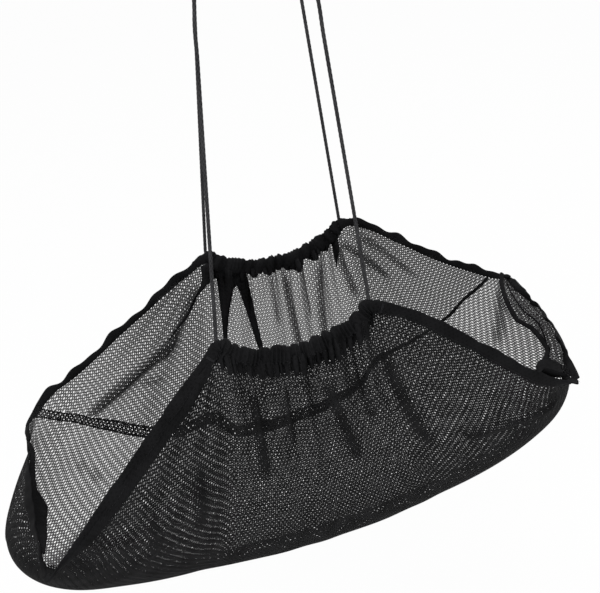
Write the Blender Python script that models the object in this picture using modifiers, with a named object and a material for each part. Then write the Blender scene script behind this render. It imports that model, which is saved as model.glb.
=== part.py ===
"""Mesh weigh sling hung by its two drawcord handles.

A boat-shaped pouch of knitted mesh with a folded casing along each long rim.
The middle of each casing is gathered on a cord, which leaves the casing at two
slits and rises as a handle to a knot. Units are metres, +Z is up, +X runs along
the sling to its right end and -Y is its front. The origin is the hanging point,
midway between the knots of the two handles.
"""
import math

import bmesh
import bpy
import numpy as np

# The rims, as seen from the front
HANG_HEIGHT = 0.400          # hanging point above the level of the gathers
SLIT_STATION = 0.33          # half of the gathered share of a rim
GATHER_SAG = 0.031           # drop of a gather between its slits

FRONT_GATHER_LEFT = -0.107
FRONT_GATHER_RIGHT = 0.070
FRONT_GATHER_Y = -0.100
FRONT_GATHER_Z = 0.001
FRONT_LEFT_CORNER = (-0.352, -0.150, -0.219)
FRONT_RIGHT_CORNER = (0.330, -0.125, -0.183)

BACK_GATHER_LEFT = -0.071
BACK_GATHER_RIGHT = 0.106
BACK_GATHER_Y = 0.100
BACK_GATHER_Z = 0.007
BACK_LEFT_CORNER = (-0.345, 0.150, -0.210)
BACK_RIGHT_CORNER = (0.361, 0.125, -0.160)

# How far each hem lies above a straight line to its corner: (share of hem, height)
FRONT_LEFT_LIFTS = ((0.10, 0.003), (0.50, 0.004))
FRONT_RIGHT_LIFTS = ((0.13, 0.011), (0.50, 0.005), (0.78, -0.006))
BACK_LEFT_LIFTS = ((0.10, 0.004), (0.40, 0.011), (0.70, 0.014), (0.90, 0.019))
BACK_RIGHT_LIFTS = ((0.13, 0.010), (0.35, 0.005), (0.55, -0.002), (0.79, -0.003))

# The belly between the rims
BELLY_DEPTH = 0.385          # lowest line below the level of the gathers
BELLY_RISE = 0.125           # rise of that line to the middle of an end wall
LEFT_REACH = 0.391           # how far the left end wall bulges from the middle
RIGHT_REACH = 0.384
LEFT_TURN = math.radians(111)
RIGHT_TURN = math.radians(108)
RIGHT_END_LIFT = 0.054       # the right end is drawn up by this much more
MIDDLE_FULLNESS = 0.9        # below 1 a cross-section is rounder than an ellipse
END_FULLNESS = 1.6           # above 1 it leaves the rim level
END_START = 0.78             # station from which the sections change to those of the ends
WALL_BULGE = 0.024           # how far the front and back walls belly outwards
TURN_SLOPE = 0.45            # how steeply the cloth passes under beside each corner
TURN_REACH = 0.08            # stations from an end over which it does so
TURN_INWARDS = 0.85          # its share along the sling
TURN_DOWN = 0.5              # its share downwards

# Cloth, tapes and cord
MESH_THICKNESS = 0.0010
CASING_WIDTH = 0.015
CASING_CLOTH = 0.0007
GATHER_THICKNESS = 0.011     # casing over the cord
HEM_THICKNESS = 0.0036       # casing pressed flat towards the corners
PRESSED_FROM = 0.02          # stations past a slit at which it begins to be flat
PRESSED_TO = 0.07
SLIT_LENGTH = 0.016
GATHER_SPACING = 0.27        # metres of rim for each unit of station, in a gather
HEM_SPACING = 0.50           # the same along a hem
END_SPACING = 0.46           # metres of cloth for each unit of station, at the ends
END_HEM_WIDTH = 0.011
END_HEM_THICKNESS = 0.0022
SEAM_WIDTH = 0.014
SEAM_THICKNESS = 0.0020
CORD_DIAMETER = 0.004
CORD_DEPTH = 0.0048          # middle of the cord below the rim that hangs on it
CORD_TURN = 0.075            # stations beside a slit over which the cord turns out of its casing
CORD_TURN_DEPTH = 0.0120     # depth of that turn below the hinge line
CORD_TURN_WIDTH = 0.0030
CORD_STRAIGHT = 0.0035       # straight stretch at the cord's end
CORD_POINTS = 0.0045         # between points along the cord in a casing
LEG_POINTS = 0.014           # and along a leg
GAP = 0.0003                 # between pieces that touch on the real sling
EDGE_GAP = 0.0008            # the same, at the edge of a curved sheet or over a casing

# Lap seam: (station, length of cloth below the back rim)
SEAM_LINE = ((-0.955, 0.010), (-0.80, 0.072), (-0.67, 0.133), (-0.52, 0.202), (-0.42, 0.236),
             (-0.23, 0.262), (0.0, 0.249), (0.29, 0.246), (0.47, 0.197), (0.63, 0.131),
             (0.76, 0.069), (0.895, 0.012))

# Coarse net that stands for the fine knit: stations of its upright bars
NET_BARS = (0.0, 0.12, 0.24, 0.36, 0.53, 0.69, 0.86)
NET_BAR_HALF = 0.014         # half a bar, in stations
FOLD_CELLS = 3               # across an opening below a gather, where the folds are
HEM_CELLS = 2                # across an opening below a hem

# Ruffles and folds
RUFFLE_COUNT = 11
RUFFLE_HEIGHT = 0.0011
FOLD_COUNT = 6
FOLD_HEIGHT = 0.0045
FOLD_LENGTH = 0.11           # below the rim, over which a fold fades
FOLD_FADE = 0.12             # stations past a slit over which the folds fade out
FOLD_START = 0.03            # below the casing, over which they begin
RUFFLE_FADE = 0.04           # stations beside a slit without ruffles

# Tucked-in cloth of the two end walls
TUCK_THICKNESS = 0.0024
LEFT_TUCK_DEPTH = 0.028
RIGHT_TUCK_DEPTH = 0.036
TUCK_EDGE = 0.004            # depth of a tuck at its two ends
TUCK_MARGIN = 0.19           # share of an end hem that each end of a tuck leaves free
TUCK_ANGLE = math.radians(70)
LEFT_TUCK_WIDEST = 0.50      # share of the hem, from the front, at which it is deepest
RIGHT_TUCK_WIDEST = 0.55

# Handles
AXIS_RISE = 0.0026           # hinge line above the rim
FRONT_TOP_LEFT = (-0.067, -0.076)
FRONT_TOP_RIGHT = (0.053, -0.076)
BACK_TOP_LEFT = (-0.034, 0.076)
BACK_TOP_RIGHT = (0.079, 0.076)
LEG_TOP_Z = -0.046           # where the straight legs turn into the top of the loop
KNOT_SCALE = 0.0023
TACK_LENGTH = 0.011
TACK_WIDTH = 0.0030
TACK_THICKNESS = 0.0012
TWIST_START = 0.86           # station past which a casing turns over into the end wall
CORNER_TACK_STATION = 0.975

# Finishes
CLOTH_COLOUR = (0.011, 0.011, 0.012, 1.0)
TAPE_COLOUR = (0.014, 0.014, 0.015, 1.0)
CORD_COLOUR = (0.035, 0.035, 0.037, 1.0)
THREAD_COLOUR = (0.022, 0.022, 0.024, 1.0)


def clear_scene():
    for item in list(bpy.data.objects):
        bpy.data.objects.remove(item, do_unlink=True)


def material(name, colour, roughness):
    made = bpy.data.materials.new(name)
    made.use_nodes = True
    shader = made.node_tree.nodes["Principled BSDF"]
    shader.inputs["Base Color"].default_value = colour
    shader.inputs["Roughness"].default_value = roughness
    shader.inputs["Metallic"].default_value = 0.0
    return made


def through(points, stations):
    """Smooth curve through points given as (station, x, y, z), at the stations."""
    points = np.array(points, float)
    knots = points[:, 0]
    spans = np.diff(knots)
    index = np.clip(np.searchsorted(knots, stations, side="right") - 1, 0, len(knots) - 2)
    share = (stations - knots[index]) / spans[index]
    columns = []
    for values in points[:, 1:].T:
        slopes = np.diff(values) / spans
        inner = (slopes[:-1] * spans[1:] + slopes[1:] * spans[:-1]) / (spans[1:] + spans[:-1])
        tangents = np.concatenate((slopes[:1], inner, slopes[-1:]))
        start = values[index] * (1 + 2 * share) * (1 - share) ** 2
        end = values[index + 1] * share ** 2 * (3 - 2 * share)
        leave = spans[index] * tangents[index] * share * (1 - share) ** 2
        arrive = spans[index] * tangents[index + 1] * share ** 2 * (share - 1)
        columns.append(start + end + leave + arrive)
    return np.stack(columns, -1)


def hem_points(sign, gather_end, corner, lifts):
    """Points of a hem between a gather's end and a corner, at their stations."""
    gather_end = np.array(gather_end)
    corner = np.array(corner)
    found = []
    for share, lift in (*lifts, (1.0, 0.0)):
        place = gather_end + (corner - gather_end) * share + np.array((0.0, 0.0, lift))
        found.append((sign * (SLIT_STATION + (1 - SLIT_STATION) * share), *place))
    return found


def rim_points(left, right, y, z, left_corner, right_corner, left_lifts, right_lifts):
    """A whole rim from its left corner, along the gather, to its right corner."""
    gather = []
    for share in (-1.0, -0.76, -0.40, 0.0, 0.40, 0.76, 1.0):
        x = (left + right) / 2 + (right - left) / 2 * share
        drop = GATHER_SAG * math.cos(share * math.pi / 2) ** 0.8 if abs(share) < 1 else 0.0
        gather.append((share * SLIT_STATION, x, y, z - drop))
    left_hem = hem_points(-1, (left, y, z), left_corner, left_lifts)
    right_hem = hem_points(1, (right, y, z), right_corner, right_lifts)
    return left_hem[::-1] + gather + right_hem


FRONT_RIM = rim_points(FRONT_GATHER_LEFT, FRONT_GATHER_RIGHT, FRONT_GATHER_Y, FRONT_GATHER_Z,
                       FRONT_LEFT_CORNER, FRONT_RIGHT_CORNER, FRONT_LEFT_LIFTS, FRONT_RIGHT_LIFTS)
BACK_RIM = rim_points(BACK_GATHER_LEFT, BACK_GATHER_RIGHT, BACK_GATHER_Y, BACK_GATHER_Z,
                      BACK_LEFT_CORNER, BACK_RIGHT_CORNER, BACK_LEFT_LIFTS, BACK_RIGHT_LIFTS)


def keel(stations):
    """Lowest line of the pouch: part of an ellipse that turns up into both end walls."""
    share = np.linspace(-1, 1, 801)
    left = share < 0
    angle = np.where(left, share * LEFT_TURN, share * RIGHT_TURN)
    x = np.where(left, LEFT_REACH, RIGHT_REACH) * np.sin(angle)
    lift = np.where(left, 0.0, RIGHT_END_LIFT) * np.abs(share) ** 2.5
    z = -BELLY_DEPTH + BELLY_RISE * (1 - np.cos(angle)) + lift
    length = np.concatenate(([0], np.cumsum(np.hypot(np.diff(x), np.diff(z)))))
    even = 2 * length / length[-1] - 1
    return np.stack((np.interp(stations, even, x), np.interp(stations, even, z)), -1)


def ease(value, low, high):
    share = min(max((value - low) / (high - low), 0.0), 1.0)
    return share * share * (3 - 2 * share)


def section(station, steps=160):
    """One cross-section from the front rim, round the belly, to the back rim."""
    angle = np.linspace(-math.pi / 2, math.pi / 2, steps + 1)
    here = np.array([station])
    front = through(FRONT_RIM, here)[0]
    back = through(BACK_RIM, here)[0]
    middle = (front + back) / 2
    half = (back - front) / 2
    low = np.array((keel(here)[0, 0], middle[1], keel(here)[0, 1]))
    upright = np.abs(np.cos(angle))
    fullness = MIDDLE_FULLNESS + (END_FULLNESS - MIDDLE_FULLNESS) * ease(abs(station), END_START, 1.0)
    down = np.stack((upright ** 2, upright, upright ** fullness), -1)
    points = middle + half * np.sin(angle)[:, None] + (low - middle) * down
    points[:, 1] += WALL_BULGE * (1 - abs(station) ** 3) * np.sin(2 * angle)
    from_end = 1 - abs(station)
    inwards = TURN_SLOPE * from_end * math.exp(-from_end / TURN_REACH) * np.sin(2 * angle) ** 2
    points[:, 0] -= inwards * math.copysign(TURN_INWARDS, station)
    points[:, 2] -= inwards * TURN_DOWN
    points[:, 2] -= HANG_HEIGHT
    length = np.concatenate(([0], np.cumsum(np.linalg.norm(np.diff(points, axis=0), axis=1))))
    return points, length


SECTIONS = {}


def cloth_line(station):
    """Points, lengths and outward normals of the section at a station."""
    key = round(float(station), 6)
    if key not in SECTIONS:
        step = 0.004
        points, length = section(key)
        ahead = section(min(key + step, 1.0))[0]
        behind = section(max(key - step, -1.0))[0]
        normals = np.cross(np.gradient(points, axis=0), ahead - behind)
        normals /= np.linalg.norm(normals, axis=1)[:, None]
        SECTIONS[key] = (points, length, normals)
    return SECTIONS[key]


def girth(station):
    return cloth_line(station)[1][-1]


def on_cloth(station, distance, raised=0.0):
    """Point on the cloth at a distance from the front rim, raised along its normal."""
    points, length, normals = cloth_line(station)
    place = np.array([np.interp(distance, length, column) for column in points.T])
    normal = np.array([np.interp(distance, length, column) for column in normals.T])
    return place + normal / np.linalg.norm(normal) * raised


def fold_height(station, from_rim):
    """Folds that fan out below a gather and fade out on the belly."""
    wave = math.cos(math.pi * FOLD_COUNT * station / SLIT_STATION)
    sides = 1 - ease(abs(station), SLIT_STATION, SLIT_STATION + FOLD_FADE)
    depth = ease(from_rim, CASING_WIDTH, CASING_WIDTH + FOLD_START) * math.exp(-from_rim / FOLD_LENGTH)
    return FOLD_HEIGHT * wave * sides * depth


def rim_line(front):
    """Fine run of points along a rim."""
    line = through(FRONT_RIM if front else BACK_RIM, np.linspace(-1, 1, 401))
    line[:, 2] -= HANG_HEIGHT
    return line


RIM_LINES = {True: rim_line(True), False: rim_line(False)}


REACHES = {}


def casing_reach(front, station):
    """Distance along the section at which the cloth leaves the casing of that rim."""
    key = (front, round(float(station), 6))
    if key not in REACHES:
        points, length, _ = cloth_line(station)
        if not front:
            points = points[::-1]
            length = length[-1] - length[::-1]
        half = len(points) // 2 + 1
        away = np.linalg.norm(points[:half, None] - RIM_LINES[front][None], axis=2).min(axis=1)
        clear = int(np.argmax(away > CASING_WIDTH))
        share = (CASING_WIDTH - away[clear - 1]) / (away[clear] - away[clear - 1])
        REACHES[key] = length[clear - 1] + (length[clear] - length[clear - 1]) * share
    return REACHES[key]


def casing_edge(front):
    """Line on the cloth where it leaves a casing."""
    line = []
    for station in np.linspace(-1, 1, 161):
        reach = casing_reach(front, station)
        line.append(on_cloth(station, rim_distance(front, station, reach)))
    return np.array(line)


def seam_height(station):
    """Distance of the seam below the back casing, along the cloth."""
    places, lengths = np.array(SEAM_LINE).T
    if not places[0] < station < places[-1]:
        return 0.0
    return max(np.interp(station, places, lengths) - casing_reach(False, station), 0.0)


def over_seam(station):
    return seam_height(station) > SEAM_WIDTH * 0.9


def finish_object(name, mesh, finish):
    made = bpy.data.objects.new(name, mesh)
    COLLECTION.objects.link(made)
    mesh.materials.append(finish)
    mesh.shade_smooth()
    mesh.set_sharp_from_angle(angle=math.radians(50))
    return made


def grid_mesh(name, rows, closed=False, left_out=()):
    """Mesh of a grid of points. A closed grid joins its last column to its first."""
    rows = np.array(rows)
    row_count, column_count = rows.shape[:2]
    builder = bmesh.new()
    corners = [[builder.verts.new(point) for point in row] for row in rows]
    last = column_count if closed else column_count - 1
    for i in range(row_count - 1):
        for j in range(last):
            if (i, j) in left_out:
                continue
            k = (j + 1) % column_count
            builder.faces.new((corners[i][j], corners[i + 1][j], corners[i + 1][k], corners[i][k]))
    mesh = bpy.data.meshes.new(name)
    builder.to_mesh(mesh)
    builder.free()
    return mesh


def thicken(made, thickness, offset):
    solid = made.modifiers.new("Cloth thickness", "SOLIDIFY")
    solid.thickness = thickness
    solid.offset = offset
    solid.use_even_offset = False
    return made


def cloth_sheet(name, stations, distances, thickness, finish, folded=True, net=False):
    """Sheet between two distances from the front rim, given for each station."""
    rows = []
    left_out = net_openings(stations, len(distances(stations[0])) - 1) if net else ()
    for station in stations:
        total = girth(station)
        row = []
        for distance in distances(station):
            from_rim = min(distance, total - distance)
            raised = fold_height(station, from_rim) if folded else 0.0
            row.append(on_cloth(station, distance, raised))
        rows.append(row)
    mesh = grid_mesh(name, rows, left_out=left_out)
    return thicken(finish_object(name, mesh, finish), thickness, 0.0)


def net_bars():
    return np.array([-bar for bar in NET_BARS[:0:-1]] + list(NET_BARS))


def net_openings(stations, row_count):
    """Cells of a panel that are left out: every second row, between the net's bars."""
    middles = (stations[:-1] + stations[1:]) / 2
    beside = np.abs(middles[:, None] - net_bars()[None]).min(axis=1)
    between = (beside > NET_BAR_HALF) & (np.abs(middles) < NET_BARS[-1])
    return {(i, j) for i in np.flatnonzero(between) for j in range(1, row_count - 1, 2)}


def panel_stations():
    """Stations of a panel: at both edges of each bar of its net, and between them."""
    inner = 1 - (END_HEM_WIDTH + EDGE_GAP) / END_SPACING
    bars = net_bars()
    stations = []
    for start, end in zip(bars[:-1], bars[1:]):
        cells = FOLD_CELLS if abs(start + end) / 2 < SLIT_STATION else HEM_CELLS
        stations.extend(np.linspace(start + NET_BAR_HALF, end - NET_BAR_HALF, cells + 1))
    outer = np.linspace(NET_BARS[-1] + NET_BAR_HALF, inner, 7)
    return np.concatenate((-outer[::-1], stations, outer))


def add_panels():
    """Main panel from the front casing to the seam, back panel above the seam."""
    def main_rows(station):
        low = casing_reach(True, station) + EDGE_GAP
        high = girth(station) - casing_reach(False, station) - EDGE_GAP
        if over_seam(station):
            high -= seam_height(station) + SEAM_WIDTH / 2
        return low + (high - low) * np.linspace(0, 1, 12)

    def back_rows(station):
        high = girth(station) - casing_reach(False, station) - EDGE_GAP
        low = high - seam_height(station) + SEAM_WIDTH / 2 + 2 * EDGE_GAP
        return low + (high - low) * np.linspace(0, 1, 8)

    def seam_rows(station):
        middle = girth(station) - casing_reach(False, station) - seam_height(station)
        return (middle - SEAM_WIDTH / 2, middle, middle + SEAM_WIDTH / 2)

    stations = panel_stations()
    seamed = np.array([station for station in stations if over_seam(station)])
    cloth_sheet("mesh_main_panel", stations, main_rows, MESH_THICKNESS, CLOTH, net=True)
    cloth_sheet("mesh_back_panel", seamed, back_rows, MESH_THICKNESS, CLOTH, net=True)
    cloth_sheet("back_seam", seamed, seam_rows, SEAM_THICKNESS, TAPE)


def rim_distance(front, station, below):
    """Distance from the front rim of a line that runs below one of the two rims."""
    return below if front else girth(station) - below


def casing_frame(front, station):
    """Rim point of a casing, and its directions along, down the cloth and outwards."""
    step = 0.006
    near = np.array((max(station - step, -1.0), min(station + step, 1.0), station))
    ends = through(FRONT_RIM if front else BACK_RIM, near)
    place = ends[2] - np.array((0.0, 0.0, HANG_HEIGHT))
    along = (ends[1] - ends[0]) / np.linalg.norm(ends[1] - ends[0])
    edge = CASING_EDGES[front]
    foot = np.abs((edge - place) @ along) + 0.2 * np.linalg.norm(edge - place, axis=1)
    down = edge[int(np.argmin(foot))] - place
    down -= along * down.dot(along)
    down /= np.linalg.norm(down)
    outward = np.cross(down, along) * (1 if front else -1)
    return place, along, down, outward


CASING_EDGES = {True: casing_edge(True), False: casing_edge(False)}


def casing_thickness(station):
    past = ease(abs(station), SLIT_STATION + PRESSED_FROM, SLIT_STATION + PRESSED_TO)
    return GATHER_THICKNESS + (HEM_THICKNESS - GATHER_THICKNESS) * past


def add_casing(name, front):
    """Folded casing along a rim: a flattened sleeve with a slit for each cord end."""
    sides = 10
    slit_start = SLIT_STATION - SLIT_LENGTH / 2 / GATHER_SPACING
    slit_end = SLIT_STATION + SLIT_LENGTH / 2 / HEM_SPACING
    hem = np.concatenate((np.linspace(slit_end, TWIST_START, 8), np.linspace(TWIST_START, 1, 12)[1:]))
    slit = np.linspace(slit_start, slit_end, 4)
    gather = np.linspace(-slit_start, slit_start, 4 * RUFFLE_COUNT + 1)
    stations = np.concatenate((-hem[::-1], -slit[-2::-1], gather[1:], slit[1:], hem[1:]))
    rows = []
    left_out = set()
    for i, station in enumerate(stations):
        place, _, down, outward = casing_frame(front, station)
        middle = place + down * CASING_WIDTH / 2
        ruffle = 0.0
        if abs(station) < slit_start:
            wave = math.cos(math.pi * RUFFLE_COUNT * station / slit_start)
            fade = 1 - ease(abs(station), slit_start - RUFFLE_FADE, slit_start)
            ruffle = RUFFLE_HEIGHT * wave * fade
        half_height = CASING_WIDTH / 2 - (RUFFLE_HEIGHT + ruffle) / 2
        half_depth = casing_thickness(station) / 2
        row = []
        for k in range(sides):
            turn = 2 * math.pi * (k + 0.5) / sides
            row.append(middle - down * math.cos(turn) * half_height
                       + outward * (math.sin(turn) * half_depth + ruffle))
        rows.append(row)
        centre = abs(station + stations[min(i + 1, len(stations) - 1)]) / 2
        if slit_start < centre < slit_end:
            left_out.update((i, k) for k in (sides - 2, sides - 1, 0))
    mesh = grid_mesh(name, rows, closed=True, left_out=left_out)
    builder = bmesh.new()
    builder.from_mesh(mesh)
    bmesh.ops.recalc_face_normals(builder, faces=builder.faces)
    builder.to_mesh(mesh)
    builder.free()
    return thicken(finish_object(name, mesh, TAPE), CASING_CLOTH, -1.0)


def add_end_hem(name, sign):
    """Hem tape along a short end, from one casing to the other."""
    inner = 1 - END_HEM_WIDTH / END_SPACING

    def rows(station):
        low = casing_reach(True, station) + EDGE_GAP
        high = girth(station) - casing_reach(False, station) - EDGE_GAP
        return low + (high - low) * np.linspace(0, 1, 12)

    stations = np.array((inner, (inner + 1) / 2, 1.0)) * sign
    return cloth_sheet(name, np.sort(stations), rows, END_HEM_THICKNESS, TAPE, folded=False)


def add_tuck(name, sign, depth, widest):
    """Cloth folded inwards along an end hem: a flap that is deepest at one share of the hem."""
    station = sign * (1 - END_HEM_WIDTH / END_SPACING)
    beside = station - sign * END_HEM_WIDTH / END_SPACING
    clear = (END_HEM_THICKNESS + TUCK_THICKNESS * math.cos(TUCK_ANGLE)) / 2 + EDGE_GAP
    rows = []
    for share in np.linspace(TUCK_MARGIN, 1 - TUCK_MARGIN, 21):
        peak = share ** (math.log(0.5) / math.log(widest))
        reach = TUCK_EDGE + depth * math.sin(math.pi * peak) ** 1.3
        root = on_cloth(station, girth(station) * share, -clear)
        inward = root - on_cloth(station, girth(station) * share)
        inward /= np.linalg.norm(inward)
        on = on_cloth(beside, girth(beside) * share, -clear) - root
        on /= np.linalg.norm(on)
        way = on * math.cos(TUCK_ANGLE) + inward * math.sin(TUCK_ANGLE)
        rows.append([root + way * reach * step for step in np.linspace(0, 1, 5)])
    made = finish_object(name, grid_mesh(name, rows), CLOTH)
    return thicken(made, TUCK_THICKNESS, 0.0)


def cord_object(name, points, finish, round_start=True, round_end=True):
    """Cord through its points. A rounded end narrows over half a diameter."""
    radius = CORD_DIAMETER / 2
    points = [np.array(point, float) for point in points]
    radii = [1.0] * len(points)
    shares = (0.10, 0.45, 0.80)
    if round_start:
        way = (points[1] - points[0]) / np.linalg.norm(points[1] - points[0])
        ahead = [points[0] + way * radius * share for share in shares] + [points[0] + way * radius]
        points = ahead + points[1:]
        radii = [math.sqrt(1 - (1 - share) ** 2) for share in shares] + [1.0] + radii[1:]
    if round_end:
        way = (points[-2] - points[-1]) / np.linalg.norm(points[-2] - points[-1])
        behind = [points[-1] + way * radius]
        behind += [points[-1] + way * radius * share for share in shares[::-1]]
        points = points[:-1] + behind
        radii = radii[:-1] + [1.0] + [math.sqrt(1 - (1 - share) ** 2) for share in shares[::-1]]
    curve = bpy.data.curves.new(name, "CURVE")
    curve.dimensions = "3D"
    curve.bevel_depth = radius
    curve.bevel_resolution = 3
    curve.use_fill_caps = True
    spline = curve.splines.new("POLY")
    spline.points.add(len(points) - 1)
    for target, point, size in zip(spline.points, points, radii):
        target.co = (*point, 1.0)
        target.radius = size
    made = bpy.data.objects.new(name, curve)
    curve.materials.append(finish)
    COLLECTION.objects.link(made)
    return made


def smooth_route(points, spacing):
    """Points along a smooth curve through the given ones, about one spacing apart."""
    points = np.array(points, float)
    reach = np.concatenate(([0], np.cumsum(np.linalg.norm(np.diff(points, axis=0), axis=1))))
    fine = through(np.column_stack((reach, points)), np.linspace(0, reach[-1], 400))
    length = np.concatenate(([0], np.cumsum(np.linalg.norm(np.diff(fine, axis=0), axis=1))))
    places = np.linspace(0, length[-1], max(int(length[-1] / spacing), 2) + 1)
    return [tuple(np.interp(place, length, column) for column in fine.T) for place in places]


def hinge_line(left, right, y, z):
    """The two places where a cord leaves its casing, on the handle's hinge line."""
    height = z + AXIS_RISE - HANG_HEIGHT
    return np.array((left, y, height)), np.array((right, y, height))


def add_casing_cord(name, front, exits):
    """The stretch of a drawcord that runs inside its casing."""
    drop = CORD_DIAMETER / 2 + GAP
    down = np.array((0.0, 0.0, -1.0))
    run = []
    for station in np.linspace(-SLIT_STATION + CORD_TURN, SLIT_STATION - CORD_TURN, 15):
        place, _, down_cloth, _ = casing_frame(front, station)
        run.append(place + down_cloth * CORD_DEPTH)
    near = np.array((CORD_TURN_WIDTH, 0.0, 0.0))
    left = [exits[0] + down * drop, exits[0] + down * (drop + CORD_STRAIGHT),
            exits[0] + near + down * CORD_TURN_DEPTH]
    right = [exits[1] - near + down * CORD_TURN_DEPTH,
             exits[1] + down * (drop + CORD_STRAIGHT), exits[1] + down * drop]
    return cord_object(name, smooth_route(left + run + right, CORD_POINTS), CORD)


def loop_top(top_left, top_right, y):
    """Middle of a handle's top, where its knot sits."""
    return np.array(((top_left[0] + top_right[0]) / 2, y, 0.0))


def knot_line():
    """Centre line of an overhand knot, pulled into a closed trefoil about its middle."""
    turn = np.linspace(0, 2 * math.pi, 36, endpoint=False)
    shape = np.stack((np.sin(turn) + 2 * np.sin(2 * turn), -np.sin(3 * turn),
                      np.cos(turn) - 2 * np.cos(2 * turn)), -1)
    return shape * KNOT_SCALE


def knot_reach():
    """Distance from a knot's middle at which a leg's end just clears it."""
    line = knot_line()
    radius = CORD_DIAMETER / 2
    beside = np.maximum(np.hypot(line[:, 1], line[:, 2]) - radius, 0.0)
    near = beside < radius + GAP
    return (line[near, 0] + np.sqrt((radius + GAP) ** 2 - beside[near] ** 2)).max()


def add_leg(name, start, top, knot):
    """One leg of a handle: straight and taut, then over into the knot."""
    shoulder = np.array((top[0], top[1], LEG_TOP_Z))
    side = 1 if knot[0] > shoulder[0] else -1
    end = knot - np.array((side * knot_reach(), 0.0, 0.0))
    straight = [start + (shoulder - start) * share for share in np.linspace(0, 0.97, 9)]
    width = end[0] - shoulder[0]
    bend = [shoulder + np.array((width * (1 - math.cos(turn)), 0.0, -LEG_TOP_Z * math.sin(turn)))
            for turn in np.radians((28, 52, 72))]
    lowest = start - (shoulder - start) / np.linalg.norm(shoulder - start) * CORD_DIAMETER / 2
    return cord_object(name, [tuple(lowest)] + smooth_route(straight + bend + [end], LEG_POINTS), CORD,
                       round_end=False)


def add_knot(name, centre):
    curve = bpy.data.curves.new(name, "CURVE")
    curve.dimensions = "3D"
    curve.bevel_depth = CORD_DIAMETER / 2
    curve.bevel_resolution = 2
    spline = curve.splines.new("POLY")
    points = centre + knot_line()
    spline.points.add(len(points) - 1)
    spline.use_cyclic_u = True
    for target, point in zip(spline.points, points):
        target.co = (*point, 1.0)
    made = bpy.data.objects.new(name, curve)
    curve.materials.append(CORD)
    COLLECTION.objects.link(made)
    return made


def add_tack(name, front, station):
    """A bar of close stitches across the outside of a casing, as a small rounded block."""
    place, _, down, outward = casing_frame(front, station)
    rise = casing_thickness(station) / 2 + EDGE_GAP + TACK_THICKNESS / 2
    centre = place + down * CASING_WIDTH / 2 + outward * rise
    across = np.cross(outward, down)
    builder = bmesh.new()
    bmesh.ops.create_cube(builder, size=1.0)
    for vert in builder.verts:
        x, y, z = vert.co
        vert.co = (centre + across * x * TACK_WIDTH + outward * y * TACK_THICKNESS
                   + down * z * TACK_LENGTH)
    mesh = bpy.data.meshes.new(name)
    builder.to_mesh(mesh)
    builder.free()
    made = finish_object(name, mesh, THREAD)
    bevel = made.modifiers.new("Rounded stitches", "BEVEL")
    bevel.width = TACK_THICKNESS * 0.3
    bevel.segments = 2
    return made


clear_scene()
COLLECTION = bpy.data.collections.new("mesh_weigh_sling")
bpy.context.scene.collection.children.link(COLLECTION)
CLOTH = material("knitted_mesh", CLOTH_COLOUR, 0.75)
TAPE = material("hem_tape", TAPE_COLOUR, 0.8)
CORD = material("braided_cord", CORD_COLOUR, 0.6)
THREAD = material("stitching", THREAD_COLOUR, 0.65)

add_panels()
add_casing("front_casing", True)
add_casing("back_casing", False)
add_end_hem("left_end_hem", -1)
add_end_hem("right_end_hem", 1)
add_tuck("left_end_tuck", -1, LEFT_TUCK_DEPTH, LEFT_TUCK_WIDEST)
add_tuck("right_end_tuck", 1, RIGHT_TUCK_DEPTH, RIGHT_TUCK_WIDEST)

FRONT_EXITS = hinge_line(FRONT_GATHER_LEFT, FRONT_GATHER_RIGHT, FRONT_GATHER_Y, FRONT_GATHER_Z)
BACK_EXITS = hinge_line(BACK_GATHER_LEFT, BACK_GATHER_RIGHT, BACK_GATHER_Y, BACK_GATHER_Z)
add_casing_cord("front_casing_cord", True, FRONT_EXITS)
add_casing_cord("back_casing_cord", False, BACK_EXITS)

for rim, exits, top_left, top_right in (("front", FRONT_EXITS, FRONT_TOP_LEFT, FRONT_TOP_RIGHT),
                                        ("back", BACK_EXITS, BACK_TOP_LEFT, BACK_TOP_RIGHT)):
    knot_centre = loop_top(top_left, top_right, top_left[1])
    add_leg(rim + "_handle_left_leg", exits[0], top_left, knot_centre)
    add_leg(rim + "_handle_right_leg", exits[1], top_right, knot_centre)
    add_knot(rim + "_handle_knot", knot_centre)

for rim, is_front in (("front", True), ("back", False)):
    for side, sign in (("left", -1), ("right", 1)):
        slit_station = sign * (SLIT_STATION + (SLIT_LENGTH + 2 * TACK_WIDTH) / HEM_SPACING)
        add_tack(f"{rim}_{side}_slit_tack", is_front, slit_station)
        add_tack(f"{rim}_{side}_corner_tack", is_front, sign * CORNER_TACK_STATION)
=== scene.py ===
"""Looks of the mesh weigh sling: a pouch of black knitted mesh with real holes, drawn
together along both rims by two braided cords. Metres, in the part's own frame.
"""
import math

import bpy
import numpy as np
from mathutils import Matrix, Vector


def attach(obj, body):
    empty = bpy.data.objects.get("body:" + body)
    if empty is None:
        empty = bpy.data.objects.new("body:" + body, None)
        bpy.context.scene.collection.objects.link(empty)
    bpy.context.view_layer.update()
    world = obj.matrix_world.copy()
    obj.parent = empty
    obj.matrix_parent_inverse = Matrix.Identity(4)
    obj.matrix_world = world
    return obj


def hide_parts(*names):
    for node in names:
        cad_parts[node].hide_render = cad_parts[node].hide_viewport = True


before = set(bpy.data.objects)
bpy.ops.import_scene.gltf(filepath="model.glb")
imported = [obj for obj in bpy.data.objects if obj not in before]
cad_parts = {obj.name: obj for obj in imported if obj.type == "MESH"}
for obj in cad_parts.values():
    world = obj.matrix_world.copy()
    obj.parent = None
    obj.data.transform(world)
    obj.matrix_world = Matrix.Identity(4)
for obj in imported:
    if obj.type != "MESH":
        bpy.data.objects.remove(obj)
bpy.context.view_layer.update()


def added(name, data):
    made = bpy.data.objects.new(name, data)
    bpy.context.scene.collection.objects.link(made)
    return made


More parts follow.
